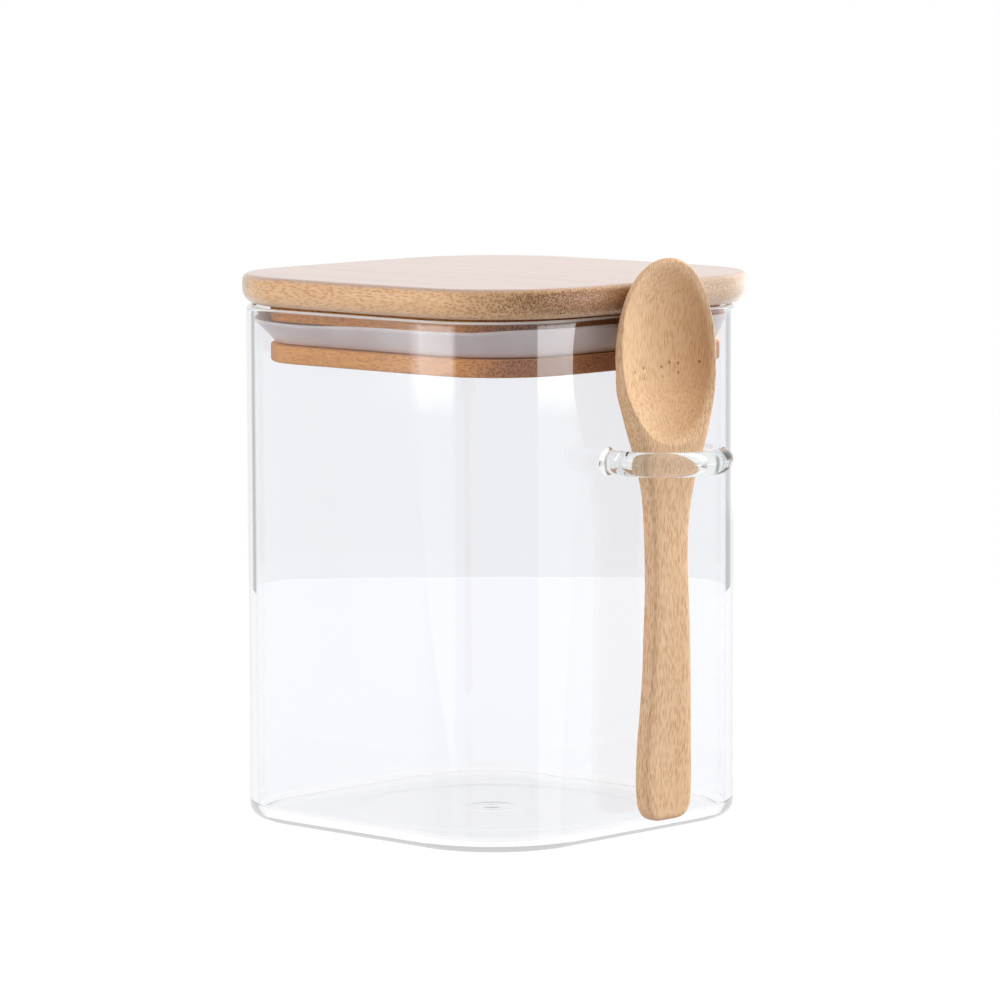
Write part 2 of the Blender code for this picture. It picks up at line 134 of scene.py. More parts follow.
MOUTH_SHARES = (1.0, 0.975, 0.945, 0.9, 0.83, 0.74, 0.62, 0.48, 0.32, 0.16)
LEAST_MOUTH_SHARE, MOST_MOUTH_SHARE = 0.30, 0.93

# Steps of a square's corner and side
CORNER_STEPS, SIDE_STEPS = 26, 14
LEAST_RADIUS, LEAST_FLAT = 0.05, 0.01


def ease(t):
    """From 0 to 1, with a soft start and end."""
    t = max(0.0, min(1.0, t))
    return t * t * (3 - 2 * t)


def square(half, radius, centre=(0.0, 0.0), bow=0.0):
    """Points of a square with round corners, its sides bowed out by bow."""
    radius = max(radius, LEAST_RADIUS)
    flat = half - radius
    quarter = []
    for i in range(SIDE_STEPS):
        y = flat * (2 * i / SIDE_STEPS - 1)
        quarter.append((half - bow * (y / max(flat, LEAST_FLAT)) ** 2, y))
    for i in range(CORNER_STEPS):
        a = math.pi / 2 * i / CORNER_STEPS
        quarter.append((flat + (radius - bow) * math.cos(a), flat + (radius - bow) * math.sin(a)))
    points = []
    for turn in range(4):
        c, s = math.cos(turn * math.pi / 2), math.sin(turn * math.pi / 2)
        points += [(centre[0] + x * c - y * s, centre[1] + x * s + y * c) for x, y in quarter]
    return points


def arc(cx, cy, radius, a0, a1, steps):
    """Points of an arc in the plane of a profile, angles in degrees."""
    angles = [math.radians(a0 + (a1 - a0) * i / steps) for i in range(steps + 1)]
    return [(cx + radius * math.cos(a), cy + radius * math.sin(a)) for a in angles]


def at_height(points, z):
    """A flat ring of points at a height."""
    return [(x, y, z) for x, y in points]


def add_mesh(name, verts, faces):
    """A smooth mesh object from points in millimetres."""
    mesh = bpy.data.meshes.new(name)
    mesh.from_pydata([(x * MM, y * MM, z * MM) for x, y, z in verts], [], faces)
    bm = bmesh.new()
    bm.from_mesh(mesh)
    bmesh.ops.recalc_face_normals(bm, faces=bm.faces)
    bm.to_mesh(mesh)
    bm.free()
    mesh.shade_smooth()
    obj = bpy.data.objects.new(name, mesh)
    bpy.context.scene.collection.objects.link(obj)
    return obj


def loft(name, rings, closed=False, start=None, end=None):
    """A skin through rings of as many points, closed to a ring, to points or flat at its ends."""
    count = len(rings[0])
    verts = [p for ring in rings for p in ring]
    faces = []
    last = len(rings) - 1
    for r in range(len(rings) if closed else last):
        s = (r + 1) % len(rings)
        for i in range(count):
            j = (i + 1) % count
            faces.append((r * count + i, r * count + j, s * count + j, s * count + i))
    if not closed:
        for row, tip in ((0, start), (last, end)):
            if tip is None:
                faces.append(tuple(row * count + i for i in range(count)))
            else:
                verts.append(tip)
                k = len(verts) - 1
                faces += [(row * count + i, row * count + (i + 1) % count, k) for i in range(count)]
    return add_mesh(name, verts, faces)


# The glass body

def press(r):
    """How far the underside is pressed in at a distance from the middle."""
    return sum(depth * (1 - ease((r - start) / width)) for start, width, depth in PRESSES)


def base_rings(inset, z, share):
    """Circles from the middle of the base that turn to the square of its flat edge."""
    edge = square(JAR_HALF - inset, JAR_RADIUS - inset)
    angles = [math.atan2(y, x) for x, y in edge]
    rings = [[(r * math.cos(a), r * math.sin(a), z + share * press(r)) for a in angles]
             for r in CIRCLES]
    for t in BLEND_SHARES:
        r = CIRCLES[-1] * (1 - t)
        rings.append([(x * t + r * math.cos(a), y * t + r * math.sin(a), z)
                      for (x, y), a in zip(edge, angles)])
    return rings


def make_jar():
    lip_z = JAR_TOP - LIP
    profile = arc(FOOT, FOOT, FOOT, 270, 180, FOOT_STEPS)[1:]
    profile += [(0.0, z) for z in WALL_HEIGHTS]
    profile += arc(LIP, lip_z, LIP, 180, 90, LIP_STEPS)
    profile += arc(WALL - LIP, lip_z, LIP, 90, 0, LIP_STEPS)
    profile += [(WALL, z) for z in reversed(WALL_HEIGHTS)]
    inner = WALL + INNER_FOOT
    profile += arc(inner, inner, INNER_FOOT, 180, 270, FOOT_STEPS)
    rings = base_rings(FOOT, 0.0, 1.0)
    rings += [at_height(square(JAR_HALF - inset, JAR_RADIUS - inset), z) for inset, z in profile]
    rings += base_rings(inner, WALL, INNER_PRESS_SHARE)[::-1][1:]
    return loft("jar_glass", rings, start=(0, 0, 0), end=(0, 0, WALL))


# The lid

def towards_middle(ring):
    """The ring drawn in to the lid's middle."""
    return [(SHIFT[0] + (x - SHIFT[0]) * MIDDLE_SHARE, SHIFT[1] + (y - SHIFT[1]) * MIDDLE_SHARE, z)
            for x, y, z in ring]


def make_board():
    low = arc(LOW_EDGE, LID_LOW + LOW_EDGE, LOW_EDGE, 270, 180, LOW_EDGE_STEPS)
    top = arc(TOP_EDGE, LID_TOP - TOP_EDGE, TOP_EDGE, 180, 90, TOP_EDGE_STEPS)
    profile = [(inset * LOW_EDGE_SHARE, z) for inset, z in low] + top
    profile = [(LOW_EDGE + FLAT_RUN, LID_LOW)] + profile + [(TOP_EDGE + FLAT_RUN, LID_TOP)]
    rings = [at_height(square(BOARD_HALF - inset, BOARD_RADIUS - inset, SHIFT, BOARD_BOW), z)
             for inset, z in profile]
    rings = [towards_middle(rings[0])] + rings + [towards_middle(rings[-1])]
    return loft("bamboo_board", rings, start=(*SHIFT, LID_LOW), end=(*SHIFT, LID_TOP))


def plug_line(inset):
    """The plug's outline, drawn in by an inset."""
    return square(PLUG_HALF - inset, PLUG_RADIUS - inset, SHIFT)


def make_plug():
    top = LID_LOW - GLUE_GAP
    profile = [(PLUG_EDGE + FLAT_RUN, PLUG_LOW)]
    profile += arc(PLUG_EDGE, PLUG_LOW + PLUG_EDGE, PLUG_EDGE, 270, 180, PLUG_EDGE_STEPS)
    profile += arc(GROOVE_EDGE, GROOVE_LOW - GROOVE_EDGE, GROOVE_EDGE, 180, 90, GROOVE_EDGE_STEPS)
    profile += [(GROOVE_DEPTH, GROOVE_LOW), (GROOVE_DEPTH, GROOVE_TOP)]
    profile += arc(GROOVE_EDGE, GROOVE_TOP + GROOVE_EDGE, GROOVE_EDGE, 270, 180, GROOVE_EDGE_STEPS)
    profile += [(0.0, top)]
    rings = [at_height(plug_line(inset), z) for inset, z in profile]
    rings = [towards_middle(rings[0])] + rings
    return loft("bamboo_plug", rings, start=(*SHIFT, PLUG_LOW), end=(*SHIFT, top))


def seal_tip(x, y):
    """The height of the lip's edge: it sags a little on the left and is pushed up at the front."""
    sag = SEAL_SAG * math.exp(-((y - SAG_Y) / SAG_SPREAD) ** 2) * ease((-x - SAG_X) / SAG_RUN)
    push = SEAL_PUSH * ease((-y - PUSH_Y) / PUSH_RUN) * ease((x + PUSH_X) / PUSH_RUN)
    return SEAL_TIP - sag + push


def make_seal():
    """The silicone ring, its lip bent up and bulging where the gap to the glass is narrow."""
    wall = square(JAR_HALF - WALL - SEAL_FIT, JAR_RADIUS - WALL - SEAL_FIT)
    collars = [plug_line(SEAL_ROOT - width) for width in SEAL_COLLARS]
    inner, start = plug_line(SEAL_ROOT), collars[-1]

    def lip(t, lift=0.0, up=0.0):
        """A ring at a share of the way to the glass, lifted from the lip's lower skin."""
        points = []
        for (x, y), (wx, wy) in zip(start, wall):
            reach = math.hypot(wx - x, wy - y)
            squeeze = max(0.0, min(1.0, (WIDE_GAP - reach) / GAP_RANGE))
            share = t + BULGE * squeeze * math.sin(math.pi * t) * (1 - t * BULGE_LEAN)
            rise = LIP_RISE + (seal_tip(wx, wy) - SEAL_LOW - LIP_RISE) * t
            z = SEAL_LOW + rise + lift * (1 - SEAL_THINNING * t) + up
            points.append((x + (wx - x) * share, y + (wy - y) * share, z))
        return points

    rings = [at_height(inner, SEAL_LOW), at_height(collars[0], SEAL_LOW),
             at_height(collars[1], SEAL_LOW + COLLAR_RISE)]
    rings += [lip(i / SEAL_STEPS) for i in range(SEAL_STEPS + 1)]
    rings += [lip(share, up=up) for share, up in LIP_EDGE]
    rings += [lip(1 - i / SEAL_UPPER_STEPS, SEAL_THICK) for i in range(1, SEAL_UPPER_STEPS + 1)]
    rings += [at_height(collars[2], SEAL_LOW + COLLAR_TOP), at_height(collars[2], SEAL_TOP),
              at_height(inner, SEAL_TOP)]
    return loft("silicone_seal", rings, closed=True)


# The spoon

def smooth_row(rows, along):
    """A row between the table's rows, on a smooth curve."""
    last = len(rows) - 1
    i = max(k for k in range(last) if rows[k][0] <= along or k == 0)
    before, here, there, after = (rows[max(0, min(last, i + k))] for k in (-1, 0, 1, 2))
    step = there[0] - here[0]
    t = (along - here[0]) / step
    row = []
    for a, p, q, b in zip(before[1:], here[1:], there[1:], after[1:]):
        m0 = (q - a) / (there[0] - before[0]) * step
        m1 = (b - p) / (after[0] - here[0]) * step
        row.append((2 * t ** 3 - 3 * t ** 2 + 1) * p + (t ** 3 - 2 * t ** 2 + t) * m0
                   + (3 * t ** 2 - 2 * t ** 3) * q + (t ** 3 - t ** 2) * m1)
    return row


def rounding(distance, radius):
    """How far a round edge draws in at a distance from the end."""
    if distance >= radius:
        return 0.0
    return radius - math.sqrt(radius ** 2 - (radius - distance) ** 2)


def spoon_size(along):
    """Half the spoon's width, and how far its back and front stand from the glass."""
    _, back, front = smooth_row(SPOON, along)
    if along <= WIDEST:
        half = smooth_row(LOWER, along)[0]
    else:
        climb = min((along - WIDEST) * SPOON_LENGTH / TIP, 1.0)
        half = WIDEST_HALF * (1 - climb ** TIP_POWER) ** (1 / TIP_POWER)
    end = along * SPOON_LENGTH
    drawn = rounding(end, END_EDGE)
    return half - rounding(end, END_CORNER), back + drawn, front - drawn


def mouth(z):
    """Half the hollow's width at a height."""
    t = abs(z - MOUTH_MIDDLE) / MOUTH_REACH
    return MOUTH_HALF * (1 - t ** MOUTH_POWER) ** (1 / MOUTH_POWER) if t < 1 else 0.0


def hollow(x, z):
    """How deep the hollow is at a place on the bowl's front."""
    side, up = abs(x / MOUTH_HALF), z - MOUTH_MIDDLE
    rho = (side ** MOUTH_POWER + abs(up / MOUTH_REACH) ** MOUTH_POWER) ** (1 / MOUTH_POWER)
    if rho >= 1.0:
        return 0.0
    return (HOLLOW_DEPTH - HOLLOW_TILT * up) * (1 - rho ** HOLLOW_POWER) ** HOLLOW_CURVE


def spoon_ring(z):
    """The spoon's section at a height: its back first, then its front with the hollow."""
    along = (z - SPOON_FOOT) / SPOON_LENGTH
    half, back, front = spoon_size(along)
    bowl = ease((along - BOWL_FROM) / BOWL_OVER)
    power = HANDLE_POWER - BOWL_POWER_LESS * bowl
    mid = (front + back) / 2
    wide = mid + (max(mid, front - RIM_THICK) - mid) * bowl
    ring = []
    for k in range(BACK_STEPS + 1):
        a = math.pi * k / BACK_STEPS
        c, s = math.cos(a), math.sin(a)
        across = math.copysign(abs(c) ** (2 / power), c)
        out = wide - (wide - back) * abs(s) ** (2 / power)
        ring.append((LOOP_X - half * across, -(JAR_HALF + out), z))
    reach = min(max(mouth(z), LEAST_MOUTH_SHARE * half) / half, MOST_MOUTH_SHARE)
    places = [1 - (1 - reach) * t for t in RIM_SHARES] + [reach * t for t in MOUTH_SHARES]
    for u in places + [0.0] + [-u for u in reversed(places)]:
        rise = (1 - abs(u) ** power) ** (1 / power)
        out = wide + (front - wide) * rise - hollow(half * u, z)
        ring.append((LOOP_X + half * u, -(JAR_HALF + out), z))
    return ring


def make_spoon():
    zs = [SPOON_FOOT + along * SPOON_LENGTH for along in END_ROWS]
    while zs[-1] < LAST_BOWL_ROW:
        zs.append(zs[-1] + BOWL_ROW)
    top = SPOON_FOOT + WIDEST * SPOON_LENGTH + TIP
    zs += [top - below for below in TIP_ROWS]
    return loft("bamboo_spoon", [spoon_ring(z) for z in zs])


# The glass loop

def make_loop():
    """A bent rod. Each step of its way: across and out, its direction and the rod's radius."""
    wall = JAR_HALF + LEG_SINK
    left = []
    for distance, thicker in FEET:
        bend = 1 - ease(distance / (LEG_END - wall))
        left.append(((-SPAN + LEG_DRAWN * bend, wall + distance), (0.0, 1.0), ROD + thicker))
    way = list(left)
    for i in range(BEND_STEPS + 1):
        a = math.pi * i / BEND_STEPS
        wide = SPAN - RIGHT_DRAWN * ease((a - RIGHT_FROM) / RIGHT_OVER)
        place = (-wide * math.cos(a), LEG_END + SPAN * math.sin(a))
        way.append((place, (math.sin(a), math.cos(a)), ROD))
    way += [((-x - RIGHT_DRAWN, out), (tx, -ty), r) for (x, out), (tx, ty), r in reversed(left)]
    rings = []
    for (x, out), (tx, ty), r in way:
        ring = []
        for k in range(ROD_STEPS):
            a = 2 * math.pi * k / ROD_STEPS
            side = r * math.cos(a)
            ring.append((LOOP_X + x + ty * side, -(out - tx * side), LOOP_Z + r * math.sin(a)))
        rings.append(ring)
    return loft("glass_loop", rings)


# Materials

class Nodes:
    """Short calls that build a node tree."""

    def __init__(self, name):
        self.mat = bpy.data.materials.new(name)
        self.mat.use_nodes = True
        self.tree = self.mat.node_tree
        self.tree.nodes.clear()
        self.out = self.tree.nodes.new("ShaderNodeOutputMaterial")

    def add(self, kind, **props):
        node = self.tree.nodes.new("ShaderNode" + kind)
        for key, value in props.items():
            setattr(node, key, value)
        return node

    def put(self, socket, value):
        if isinstance(value, bpy.types.NodeSocket):
            self.tree.links.new(value, socket)
        elif value is not None:
            socket.default_value = value

    def fill(self, node, **values):
        for name, value in values.items():
            self.put(node.inputs[name], value)

    def math(self, op, a, b=None, c=None, clamp=False):
        node = self.add("Math", operation=op, use_clamp=clamp)
        for i, value in enumerate((a, b, c)):
            self.put(node.inputs[i], value)
        return node.outputs[0]

    def times(self, a, b):
        return self.math("MULTIPLY", a, b)

    def line(self, value, slope, start):
        return self.math("MULTIPLY_ADD", value, slope, start)

    def vec(self, op, a, b=None):
        node = self.add("VectorMath", operation=op)
        self.put(node.inputs[0], a)
        self.put(node.inputs[1], b)
        measure = op in ("LENGTH", "DISTANCE", "DOT_PRODUCT")
        return node.outputs["Value"] if measure else node.outputs["Vector"]

    def scaled(self, vector, factor):
        out = self.vec("SCALE", vector)
        out.node.inputs["Scale"].default_value = factor
        return out

    def axes(self, vector):
        node = self.add("SeparateXYZ")
        self.put(node.inputs[0], vector)
        return node.outputs

    def ramp(self, value, *stops):
        node = self.add("ValToRGB")
        elements = node.color_ramp.elements
        while len(elements) > 1:
            elements.remove(elements[-1])
        for i, (place, shade) in enumerate(stops):
            element = elements[0] if i == 0 else elements.new(place)
            element.position = place
            element.color = (*shade, 1) if isinstance(shade, tuple) else (shade, shade, shade, 1)
        self.put(node.inputs[0], value)
        return node.outputs[0]

    def mix(self, share, a, b, kind="MIX"):
        node = self.add("Mix", data_type="RGBA", blend_type=kind, clamp_factor=True)
        self.put(node.inputs[0], share)
        for socket, colour in ((node.inputs[6], a), (node.inputs[7], b)):
            self.put(socket, colour if isinstance(colour, bpy.types.NodeSocket) else (*colour, 1))
        return node.outputs[2]

    def noise(self, vector, scale, detail=3.0, rough=0.55, output=0):
        node = self.add("TexNoise")
        self.fill(node, Vector=vector, Scale=scale, Detail=detail, Roughness=rough)
        return node.outputs[output]

    def bump(self, height, strength, distance):
        node = self.add("Bump")
        self.fill(node, Height=height, Strength=strength, Distance=distance)
        return node.outputs[0]

    def principled(self, **values):
        node = self.add("BsdfPrincipled")
        for key, value in values.items():
            socket = node.inputs[key.replace("_", " ")]
            if isinstance(value, tuple) and len(value) == 3 and socket.type == "RGBA":
                value = (*value, 1)
            self.put(socket, value)
        return node.outputs[0]

    def mix_shader(self, share, a, b):
        node = self.add("MixShader")
        for i, value in enumerate((share, a, b)):
            self.put(node.inputs[i], value)
        return node.outputs[0]

    def end(self, shader):
        self.tree.links.new(shader, self.out.inputs["Surface"])
        return self.mat


def grey(shade):
    return (shade, shade, shade)


def srgb(r, g, b):
    """An 8 bit colour as the renderer counts it."""
    shares = (c / 255 for c in (r, g, b))
    return tuple(((s + 0.055) / 1.055) ** 2.4 if s > 0.04045 else s / 12.92 for s in shares)


# Glass: its rim is made partly milky white, a painted highlight for the bright line that light
# makes in the clear rim, and its base is paler than its walls. A ray is lost when it was bent or
# mirrored more often than these counts.
GLASS_IOR = 1.48
RIM_LOW, RIM_RANGE, RIM_STOPS, RIM_HIGHLIGHT_SHARE = 0.1263, 0.0012, ((0.0, 0.0), (0.25, 1.0)), 0.55
BASE_SCALE, BASE_STOPS = 100.0, ((0.19, 1.0), (0.22, 0.0))
RIM_HIGHLIGHT_TINT, BASE_TINT = grey(0.97), grey(0.985)
LOST_TINT = (0.60, 0.61, 0.61)
LOST_TRANSMISSION, LOST_GLOSSY = 7.5, 2.5
SOAK_COLOUR = (0.80, 0.84, 0.83, 1)


def glass(name, tint, deep, soak=0.0, rim=False):
    """Clear glass that lamps shine through. Rays caught in it for long go on straight."""
    n = Nodes(name)
    path = n.add("LightPath").outputs
    colour, clear = tint, 1.0
    if rim:
        # Painted highlight: the rim's top turns partly milky white.
        z = n.axes(n.add("TexCoord").outputs["Object"])[2]
        top = n.ramp(n.math("DIVIDE", n.math("SUBTRACT", z, RIM_LOW), RIM_RANGE), *RIM_STOPS)
        clear = n.math("SUBTRACT", 1.0, n.times(top, RIM_HIGHLIGHT_SHARE))
        low = n.ramp(n.times(z, BASE_SCALE), *BASE_STOPS)
        colour = n.mix(top, n.mix(low, tint, BASE_TINT), RIM_HIGHLIGHT_TINT)
    body = n.principled(Base_Color=colour, Roughness=0.0, IOR=GLASS_IOR, Transmission_Weight=clear)
    lost = n.math("MAXIMUM", n.math("GREATER_THAN", path["Transmission Depth"], LOST_TRANSMISSION),
                  n.math("GREATER_THAN", path["Glossy Depth"], LOST_GLOSSY))
    open_way = n.add("BsdfTransparent")
    n.put(open_way.inputs["Color"], n.mix(lost, deep, LOST_TINT))
    through = n.math("MAXIMUM", path["Is Shadow Ray"], path["Is Diffuse Ray"])
    if soak:
        volume = n.add("VolumeAbsorption")
        volume.inputs["Color"].default_value = SOAK_COLOUR
        volume.inputs["Density"].default_value = soak
        n.tree.links.new(volume.outputs[0], n.out.inputs["Volume"])
    return n.end(n.mix_shader(n.math("MAXIMUM", through, lost), body, open_way.outputs[0]))


# Bamboo: scales of its patterns across and along the fibres, per millimetre. Stops are pairs of a
# value and what it gives.
WANDER, WANDER_WIDTH = (0.035, 0.012), 3.0
THREAD, THREAD_STOPS, THREAD_MIX = (2.6, 0.14), ((0.45, 0.0), (0.72, 1.0)), 0.45
CLOUD, CLOUD_STOPS = (0.16, 0.008), ((0.32, 0.0), (0.68, 1.0))
PATCH, PATCH_STOPS = (0.09, 0.02, 0.09), ((0.35, 0.6), (0.6, 1.0))
SPOT_STOPS, CELL_RANDOMNESS = ((0.0, 1.0), (0.26, 0.95), (0.55, 0.0)), 0.9
# How far a face turns to the fibres until it counts as their end
END_STOPS = {"Y": ((0.25, 0.0), (0.80, 1.0)), "Z": ((0.3, 0.0), (0.95, 1.0))}
ROUGH_FROM, ROUGH_TO = 0.3, 0.7
BUMP_STRENGTH, BUMP_DISTANCE, THREAD_HEIGHT, DOT_HEIGHT = 0.3, 0.0001, 0.5, -0.6
SEED_WAY = (1.0, 0.7, 1.3)

# The board: its end faces are painted paler towards +X, painted light and sheen from that side,
# with fewer and paler dots there. Its top has fewer dots and is glossy, and its sides look hazy at
# a slant. The dots at its ends are larger.
END_DOT_GROWTH, DEEP_STOPS = -0.15, ((0.72, 0.0), (0.97, 1.0))
LIT_END_FROM, LIT_END_RANGE, LIT_END_STOPS = 8.0, 20.0, ((0.0, 0.0), (0.5, 1.0))
LIT_END_TONE, LIT_END_TONE_SHARE = srgb(212, 190, 167), 0.95
LIT_END_DOT, LIT_END_DOT_SHARE, LIT_END_FEWER = srgb(176, 138, 100), 0.8, -0.3
TOP_STOPS, TOP_FEWER = ((0.4, 0.0), (0.9, 1.0)), -0.6
ASLANT_STOPS, HAZE, HAZE_ROUGHNESS = ((0.25, 0.35), (0.75, 1.0)), 0.7, 0.35

# The spoon's hollow, in painted shade that darkens to its right, and the dark ends of fibres in
# it: across, height and radius
HOLLOW_SHADE_LEFT, HOLLOW_SHADE_RIGHT, HOLLOW_SHADE_SHARE = srgb(227, 190, 150), srgb(180, 124, 72), 0.75
INSIDE_STOPS, SHADE_STOPS = ((0.0, 1.0), (0.90, 1.0), (0.98, 0.0)), ((0.25, 0.0), (1.0, 1.0))
FRONT_STOPS = ((0.0, 0.0), (0.35, 1.0))
MARK_TONE, MARK_STOPS = srgb(104, 70, 46), ((0.0, 0.85), (0.35, 0.7), (0.62, 0.0))
DARK_MARKS = ((-9.0, 113.8, 0.34), (-5.1, 114.5, 0.36), (-5.2, 112.0, 0.24), (1.7, 114.4, 0.36),
              (4.5, 115.3, 0.38), (7.4, 115.0, 0.38), (7.2, 112.7, 0.34), (1.8, 112.1, 0.24),
              (13.6, 115.0, 0.40))


def painted_hollow_shade(n, mm, seed, normal, colour):
    """Painted shade in the hollow, darker to the right, and what faces the front."""
    centre = (LOOP_X + seed * SEED_WAY[0], 0.0, MOUTH_MIDDLE + seed * SEED_WAY[2])
    out = n.vec("MULTIPLY", n.vec("SUBTRACT", mm, centre), (1 / MOUTH_HALF, 0.0, 1 / MOUTH_REACH))
    front = n.ramp(n.times(normal[1], -1.0), *FRONT_STOPS)
    inside = n.times(n.ramp(n.vec("LENGTH", out), *INSIDE_STOPS), front)
    # Painted shade: the hollow turns darker towards its right.
    shade = n.ramp(n.line(n.axes(out)[0], 0.5, 0.5), *SHADE_STOPS)
    tone = n.mix(shade, HOLLOW_SHADE_LEFT, HOLLOW_SHADE_RIGHT)
    return n.mix(n.times(inside, HOLLOW_SHADE_SHARE), colour, tone), front


def bamboo(name, fibre, tones, dots, ends, gloss, cell=0.5, dash=1.9, seed=0.0, board=None,
           bowl=False):
    """Bamboo with its fibres along one axis, Y or Z: streaks along it, and dots at its ends.

    tones: pale, middle, dark and dot. dots: their strength on the sides and at the ends.
    ends: tone, dot and share. gloss: least and most roughness, specular level, coat and the
    coat's roughness. cell and dash: how wide and long a dot is. board: the tint of its top, its own
    pinker tone and painted shade against the stronger light there, and the deep tone of its ends.
    """
    pale, middle, dark, dot = tones
    dots_side, dots_end = dots
    end_tone, end_dot, end_share = ends
    smoothest, roughest, specular, coat, coat_roughness = gloss
    n = Nodes(name)
    coord = n.add("TexCoord")
    mm = n.scaled(coord.outputs["Object"], 1 / MM)
    mm = n.vec("ADD", mm, tuple(seed * way for way in SEED_WAY))
    y_way = fibre == "Y"

    def along(across, length):
        """Scales of a pattern: across the fibres and along them."""
        return (across, length, across) if y_way else (across, across, length)

    # The fibres wander a little on their way
    wander = n.noise(n.vec("MULTIPLY", mm, along(*WANDER)), 1.0, 2.0, 0.5, output="Color")
    bent = n.vec("ADD", mm, n.scaled(n.vec("SUBTRACT", wander, grey(0.5)), WANDER_WIDTH))
    cells = n.add("TexVoronoi", feature="F1")
    n.put(cells.inputs["Vector"], n.vec("MULTIPLY", bent, along(1 / cell, 1 / dash)))
    cells.inputs["Scale"].default_value = 1.0
    cells.inputs["Randomness"].default_value = CELL_RANDOMNESS
    normal = n.axes(coord.outputs["Normal"])
    ends_turn = n.math("ABSOLUTE", normal[1 if y_way else 2])
    end_on = n.ramp(ends_turn, *END_STOPS[fibre])
    size = n.line(end_on, END_DOT_GROWTH if board else 0.0, 1.0)
    spot = n.ramp(n.times(cells.outputs["Distance"], size), *SPOT_STOPS)
    # Fine threads between the bundles
    thread = n.noise(n.vec("MULTIPLY", bent, along(*THREAD)), 1.0, 3.0, 0.6)
    cloud = n.noise(n.vec("MULTIPLY", bent, along(*CLOUD)), 1.0)
    base = n.mix(n.ramp(cloud, *CLOUD_STOPS), pale, middle)
    base = n.mix(n.times(n.ramp(thread, *THREAD_STOPS), THREAD_MIX), base, dark)
    strength = n.math("ADD", dots_side, n.times(end_on, dots_end - dots_side))
    patch = n.ramp(n.noise(n.vec("MULTIPLY", mm, PATCH), 1.0, 2.0), *PATCH_STOPS)
    amount = n.times(n.times(spot, strength), patch)
    haze = 0.0
    if board:
        top, deep_end = board
        end_tone = n.mix(n.ramp(ends_turn, *DEEP_STOPS), end_tone, deep_end)
        # Painted light: the end faces turn paler towards +X, with fewer and paler dots.
        place = n.math("DIVIDE", n.math("SUBTRACT", n.axes(mm)[0], LIT_END_FROM + seed), LIT_END_RANGE)
        painted_lit_end = n.ramp(place, *LIT_END_STOPS)
        end_tone = n.mix(n.times(painted_lit_end, LIT_END_TONE_SHARE), end_tone, LIT_END_TONE)
        end_dot = n.mix(n.times(painted_lit_end, LIT_END_DOT_SHARE), end_dot, LIT_END_DOT)
        amount = n.times(amount, n.line(painted_lit_end, LIT_END_FEWER, 1.0))
        # The top's tint: its own pinker tone, and painted shade against the stronger light on top.
        flat = n.ramp(normal[2], *TOP_STOPS)
        base = n.mix(flat, base, n.mix(1.0, base, top, "MULTIPLY"))
        amount = n.times(amount, n.line(flat, TOP_FEWER, 1.0))
        aslant = n.add("LayerWeight")
        aslant.inputs["Blend"].default_value = 0.5
        aslant = n.ramp(aslant.outputs["Facing"], *ASLANT_STOPS)
        coat = n.times(n.math("MAXIMUM", flat, aslant), coat)
        haze = n.line(flat, -HAZE, HAZE)
    colour = n.mix(n.times(end_on, end_share), base, end_tone)
    if bowl:
        colour, front = painted_hollow_shade(n, mm, seed, normal, colour)
    colour = n.mix(amount, colour, n.mix(end_on, dot, end_dot))
    for x, z, radius in DARK_MARKS if bowl else ():
        centre = (x + seed * SEED_WAY[0], 0.0, z + seed * SEED_WAY[2])
        distance = n.vec("DISTANCE", n.vec("MULTIPLY", mm, (1.0, 0.0, 1.0)), centre)
        mark = n.ramp(n.math("DIVIDE", distance, radius * 2), *MARK_STOPS)
        colour = n.mix(n.times(mark, front), colour, MARK_TONE)
    height = n.math("ADD", n.times(thread, THREAD_HEIGHT), n.times(amount, DOT_HEIGHT))
    rough = n.ramp(thread, (ROUGH_FROM, smoothest), (ROUGH_TO, roughest))
    return n.end(n.principled(
        Base_Color=colour, Roughness=rough, Specular_IOR_Level=specular, Coat_Weight=coat,
        Coat_Roughness=coat_roughness, Sheen_Weight=haze, Sheen_Roughness=HAZE_ROUGHNESS,
        Normal=n.bump(height, BUMP_STRENGTH, BUMP_DISTANCE)))


MILKY, CLOUDY, CLOUDY_STOPS = srgb(236, 225, 223), srgb(223, 209, 208), ((0.35, 0.0), (0.65, 1.0))
FINE_SCALE, CLOUDY_SCALE = 900.0, 60.0


def silicone():
    """Milky silicone, a little cloudy."""
    n = Nodes("silicone_look")
    place = n.add("TexCoord").outputs["Object"]
    fine = n.noise(place, FINE_SCALE, 2.0)
    cloud = n.noise(place, CLOUDY_SCALE, 2.0)
    colour = n.mix(n.ramp(cloud, *CLOUDY_STOPS), MILKY, CLOUDY)
    return n.end(n.principled(
        Base_Color=colour, Roughness=0.38, IOR=1.42, Transmission_Weight=0.12,
        Subsurface_Weight=0.2, Subsurface_Scale=0.002, Normal=n.bump(fine, 0.1, 0.00005)))


def clothe(obj, mat, body, slot, *nodes):
    """Gives a piece its material and its body, and hides the solids that it stands for."""
    obj.data.materials.clear()
    obj.data.materials.append(mat)
    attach(obj, body)
    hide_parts(*nodes)


jar_glass = glass("jar_glass_look", (0.93, 0.935, 0.955), (0.965, 0.965, 0.97), rim=True)
loop_glass = glass("loop_glass_look", (0.975, 0.98, 0.98), grey(0.95), soak=50.0)
board_wood = bamboo(
    "board_look", "Y",
    (srgb(235, 194, 151), srgb(225, 182, 138), srgb(206, 157, 110), srgb(188, 118, 66)),
    dots=(0.6, 0.85), ends=(srgb(210, 168, 124), srgb(92, 46, 16), 0.95),
    gloss=(0.45, 0.55, 0.3, 0.85, 0.2), cell=0.5, dash=2.0, seed=11.0,
    # The top's tint, given first, is partly painted shade.
    board=((0.65, 0.72, 1.08), srgb(186, 140, 104)))
